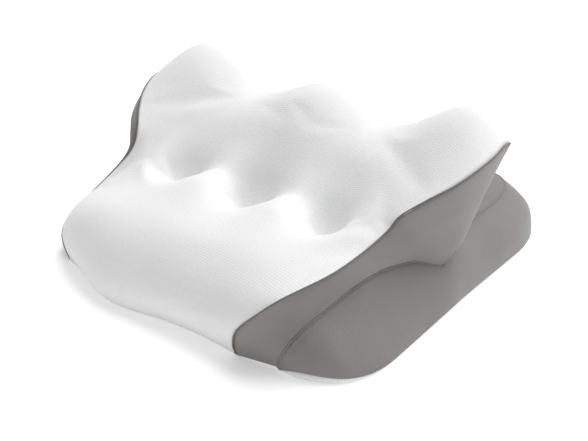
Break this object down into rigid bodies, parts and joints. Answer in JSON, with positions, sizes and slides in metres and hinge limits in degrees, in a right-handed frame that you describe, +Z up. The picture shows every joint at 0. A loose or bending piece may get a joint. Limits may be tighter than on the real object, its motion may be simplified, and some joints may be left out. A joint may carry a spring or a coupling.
{
  "type": "cervical traction pillow",
  "caption": "Foam neck traction pillow with a raised neck crest, press bumps, a three-lobed reclining head rest over a base slab, knit cover and rear zipper.",
  "frame": {"origin": "centre of the underside, on the surface the pillow lies on", "axes": "+X to the user's right along the row of lobes, +Y from the shoulder edge to the rear edge, +Z up"},
  "size_m": [0.3618, 0.3805, 0.1538],
  "materials": {
    "white_knit": "fine square air knit",
    "grey_knit": "smooth warm grey jersey",
    "foam": "slow-recovery foam",
    "piping": "covered cord",
    "zipper_tape": "woven tape",
    "zipper_teeth": "moulded plastic",
    "zipper_metal": "enamelled die-cast metal"
  },
  "bodies": {
    "base": {"top_panel_front": "white_knit", "bottom_panel": "white_knit", "side_panel_base_right": "grey_knit", "side_panel_base_left": "grey_knit", "wing_panel_right": "grey_knit", "wing_panel_left": "grey_knit", "base_top_panel": "grey_knit", "rear_band_upper": "grey_knit", "rear_band_lower": "grey_knit", "foam_base": "foam", "piping_base_right": "piping", "piping_base_left": "piping", "piping_wing_right": "piping", "piping_wing_left": "piping", "zipper_tape_upper": "zipper_tape", "zipper_tape_lower": "zipper_tape", "zipper_teeth_upper": "zipper_teeth", "zipper_teeth_lower": "zipper_teeth", "zipper_stop_left": "zipper_teeth", "zipper_stop_right": "zipper_teeth"},
    "head_rest": {"foam_head_rest": "foam", "top_panel_head_rest": "white_knit", "head_rest_back_panel": "grey_knit", "side_panel_head_rest_right": "grey_knit", "side_panel_head_rest_left": "grey_knit", "piping_head_rest_right": "piping", "piping_head_rest_left": "piping"},
    "slider": {"zipper_slider": "zipper_metal"},
    "pull": {"zipper_pull": "zipper_metal"}
  },
  "joints": [
    {"name": "head_rest_flex", "type": "hinge", "parent": "base", "child": "head_rest", "pos_m": [0, -0.008, 0.039], "axis": [-1, 0, 0], "range_deg": [0, 14], "stiffness_Nm_per_rad": 18},
    {"name": "zipper_slide", "type": "slide", "parent": "base", "child": "slider", "axis": [1, 0, 0], "range_m": [0, 0.168]},
    {"name": "pull_flip", "type": "hinge", "parent": "slider", "child": "pull", "pos_m": [-0.084, 0.1862, 0.017], "axis": [0, 0, 1], "range_deg": [0, 175]}
  ]
}
